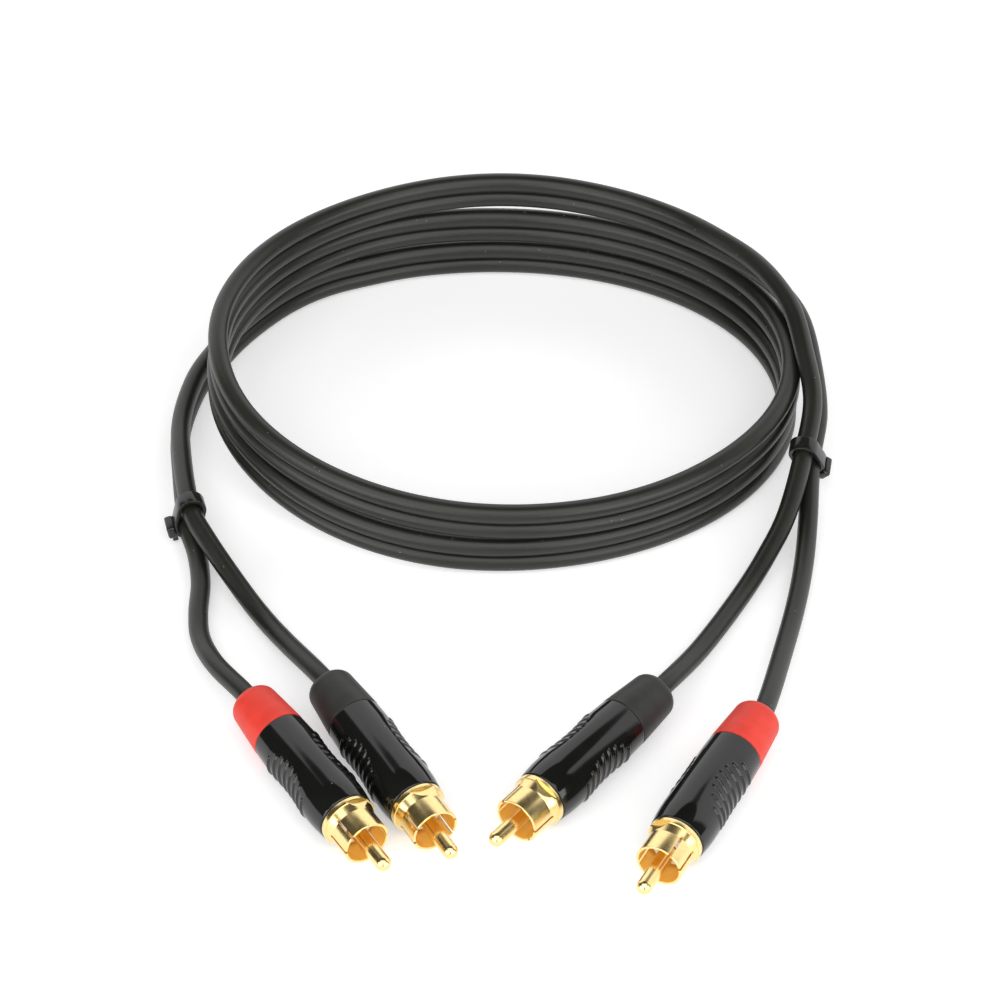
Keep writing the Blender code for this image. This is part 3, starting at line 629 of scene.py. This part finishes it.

sleeve_inside = SLEEVE_R - SLEEVE_WALL
contact = turned_shape(
    arc(sleeve_inside + RIM_EDGE, SLEEVE_RIM + RIM_EDGE, RIM_EDGE, 180, 270) +
    arc(SLEEVE_R - RIM_EDGE, SLEEVE_RIM + RIM_EDGE, RIM_EDGE, 270, 360) +
    [(SLEEVE_R, CONE_FRONT), (FLANGE_R - CONE_STEP, CONE_BACK)] +
    arc(FLANGE_R - FLANGE_EDGE, CONE_BACK + FLANGE_EDGE, FLANGE_EDGE, 270, 360, 4) +
    arc(FLANGE_R - SHOULDER_EDGE, FLANGE_BACK - SHOULDER_EDGE, SHOULDER_EDGE, 0, 90) +
    [(SPIGOT_R, FLANGE_BACK), (SPIGOT_R, SPIGOT_END), (CONTACT_BORE_R, SPIGOT_END),
     (CONTACT_BORE_R, SLEEVE_FLOOR), (sleeve_inside, SLEEVE_FLOOR)], 120)
cuts = [("DIFFERENCE", block((4 * SLEEVE_R, SLOT_WIDTH, SAW_DEPTH),
                             Matrix.Rotation(angle, 4, "Z") @
                             Matrix.Translation((0, 0, SLOT_END - SAW_DEPTH / 2)), 0))
        for angle in (SAW_ANGLE, -SAW_ANGLE)]
cuts += [("DIFFERENCE", block((FLANGE_R, 4 * FLANGE_R, FLAT_LENGTH), Matrix.Translation((
    side * (FLAT_TO_FLAT + FLANGE_R) / 2, 0, FLAT_BACK - FLAT_LENGTH / 2)), 0))
         for side in (1, -1)]
contact = worked(contact, *cuts)

gold, flow = start_finish("gold_plate")
where = flow.node("TexCoord", output=3)
turning = noise(flow, flow.node("VectorMath", {"operation": "MULTIPLY"},
                                {0: where, 1: (250, 250, 9000)}), 1, 3)
blotch = noise(flow, where, 900, 3)
across = flow.node("VectorMath", {"operation": "LENGTH"}, {0: flow.node(
    "VectorMath", {"operation": "MULTIPLY"}, {0: where, 1: (1, 1, 0)})}, 1)
height = flow.node("SeparateXYZ", None, {"Vector": where}, 2)
# Inside the sleeve the gold is painted amber with a matt share, less bump and more roughness.
# This is a painted reflection of light bouncing between the walls.
inside = ((across < sleeve_inside + RIM_EDGE / 2) * (across > PIN_R + INSIDE_ROOM) *
          (height < SLEEVE_FLOOR + INSIDE_ROOM))
end_finish(flow, bump=(turning * 0.7 + blotch * 0.3) * (1 - inside * 0.8),
           bump_depth=0.000002,
           base_color=inside.blend(
               blotch.ramp(0.3, 0.7).blend(PALE_GOLD, PALE_GOLD_LIGHT),
               blotch.ramp(0.2, 0.8).blend(PAINTED_BOUNCE_GOLD, PAINTED_BOUNCE_GOLD_LIGHT)),
           metallic=1 - inside * 0.6,
           roughness=turning * 0.08 + blotch * 0.08 + inside * 0.1 + 0.15)

for name, (_, _, _, contact_turn) in PLUGS.items():
    piece = add(f"{name}_plug_contact", contact, gold,
                plug_place(name, contact_turn), 18)
    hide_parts(f"{name}_outer_contact")
    plug_pieces[name].append(piece)


# Centre pins
# Gold-plated brass pins with a ball tip. The core is soldered into the cup
# at the back of each.
PIN_TIP, PIN_SHOULDER = -15.6 * MM, 7.2 * MM
CUP_R, CUP_BORE_R, CUP_END, CUP_FLOOR = 1.25 * MM, 0.75 * MM, 11.5 * MM, 8.5 * MM

pin = turned_shape([(0, PIN_TIP)] + arc(0, PIN_TIP + PIN_R, PIN_R, -90, 0, 16)[1:] +
                   [(PIN_R, PIN_SHOULDER), (CUP_R, PIN_SHOULDER), (CUP_R, CUP_END),
                    (CUP_BORE_R, CUP_END), (CUP_BORE_R, CUP_FLOOR), (0, CUP_FLOOR)], 64)
for name, (_, _, housing_turn, _) in PLUGS.items():
    piece = add(f"{name}_plug_pin", pin, gold, plug_place(name, housing_turn), 40)
    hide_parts(f"{name}_centre_pin")
    plug_pieces[name].append(piece)


# Inside the plugs
# A white plastic bush holds each pin, a slit steel ring under the collar
# grips the jacket, and the white core runs from the jacket to the solder cup.
bush, flow = start_finish("bush_plastic")
where = flow.node("TexCoord", output=3)
grain = noise(flow, where, 1500, 3)
end_finish(flow, bump=grain, bump_depth=0.00001,
           base_color=grain.ramp(0.3, 0.7).blend((0.72, 0.71, 0.66, 1), (0.78, 0.77, 0.73, 1)),
           roughness=grain * 0.15 + 0.4)
steel, flow = start_finish("clamp_steel")
where = flow.node("TexCoord", output=3)
brush = noise(flow, where, 2500, 4)
end_finish(flow, bump=brush, bump_depth=0.000004,
           base_color=brush.ramp(0.3, 0.7).blend((0.55, 0.55, 0.54, 1), (0.63, 0.63, 0.62, 1)),
           metallic=1.0, roughness=brush * 0.2 + 0.25)
sheath, flow = start_finish("core_sheath")
where = flow.node("TexCoord", output=3)
grain = noise(flow, where, 2000)
end_finish(flow, bump=grain, bump_depth=0.000008,
           base_color=grain.ramp(0.3, 0.7).blend((0.76, 0.76, 0.73, 1), (0.82, 0.82, 0.8, 1)),
           roughness=grain * 0.1 + 0.4)
for name in PLUGS:
    for part, finish in (("insulator", bush), ("cord_clamp", steel), ("core", sheath)):
        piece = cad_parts[f"{name}_{part}"]
        piece.material_slots[0].material = finish
        plug_pieces[name].append(piece)


# Floor and light
# A pale tabletop before a lit white backdrop, with a soft box overhead and
# two low ones in front. The room is dark at the sides and above the backdrop.
FLOOR_R, FLOOR_DROP = 6.0, 0.2 * MM
BLACK, WHITE = (0, 0, 0, 1), (1, 1, 1, 1)
ROOM_DARK, BACKDROP_WHITE = (0.05, 0.05, 0.05, 1), (1.3, 1.3, 1.3, 1)

floor_finish, flow = start_finish("floor")
shown, glossy, through = (flow.node("LightPath", output=ray) for ray in (0, 3, 6))
spot = flow.node("NewGeometry")
out = flow.node("VectorMath", {"operation": "LENGTH"}, {0: spot}, 1).ramp(0.25, 0.9)
lit = flow.node("BsdfDiffuse", None, {"Color": (0.8, 0.8, 0.8, 1)})
white = (shown + glossy + through > 0) * (out * 0.5 + 0.4)    # whiter away from the cable
glow = flow.node("Emission", None, {"Color": white.blend(BLACK, WHITE), "Strength": 1.0})
flow.node("OutputMaterial", None, {"Surface": flow.node("AddShader", None, {0: lit, 1: glow})})
floor_mesh = bpy.data.meshes.new("floor")
bm = bmesh.new()
bmesh.ops.create_circle(bm, cap_ends=True, radius=FLOOR_R, segments=96)
bm.to_mesh(floor_mesh)
bm.free()
floor_mesh.materials.append(floor_finish)
floor = bpy.data.objects.new("floor", floor_mesh)
floor.location.z = -FLOOR_DROP
bpy.context.scene.collection.objects.link(floor)

for name, place, size, power in (("overhead_box", (0.0, -0.75, 1.2), (2.0, 1.2), 16),
                                 ("left_box", (-0.58, -0.69, 0.28), (1.0, 0.5), 5),
                                 ("right_box", (0.58, -0.69, 0.28), (1.0, 0.5), 5)):
    lamp = bpy.data.lights.new(name, "AREA")
    lamp.shape, lamp.size, lamp.size_y, lamp.energy = "RECTANGLE", *size, power
    holder = bpy.data.objects.new(name, lamp)
    holder.location = place
    holder.rotation_euler = (-Vector(place)).to_track_quat("-Z", "Y").to_euler()
    bpy.context.scene.collection.objects.link(holder)

world = bpy.data.worlds.new("studio")
world.use_nodes = True
world.node_tree.nodes.clear()
flow = Flow(world.node_tree)
toward = flow.node("TexCoord")
right, back, up = (flow.node("SeparateXYZ", None, {"Vector": toward}, i) for i in range(3))
backdrop = (back + right * 0.25).ramp(0.24, 0.3) * (1 - up.ramp(0.76, 0.785))
flow.node("OutputWorld", None, {"Surface": flow.node("Background", None, {
    "Color": backdrop.blend(ROOM_DARK, BACKDROP_WHITE)})})
bpy.context.scene.world = world
bpy.context.scene.view_settings.view_transform = "Standard"


# The cords
# Each cord's length is measured and its right plug's pieces are gathered, but nothing more is
# done with them.
for colour, piece in strand.items():
    path = paths[colour][0]
    length(path)
    plug_pieces[f"right_{colour}"] + ([web] if colour == "black" else [])
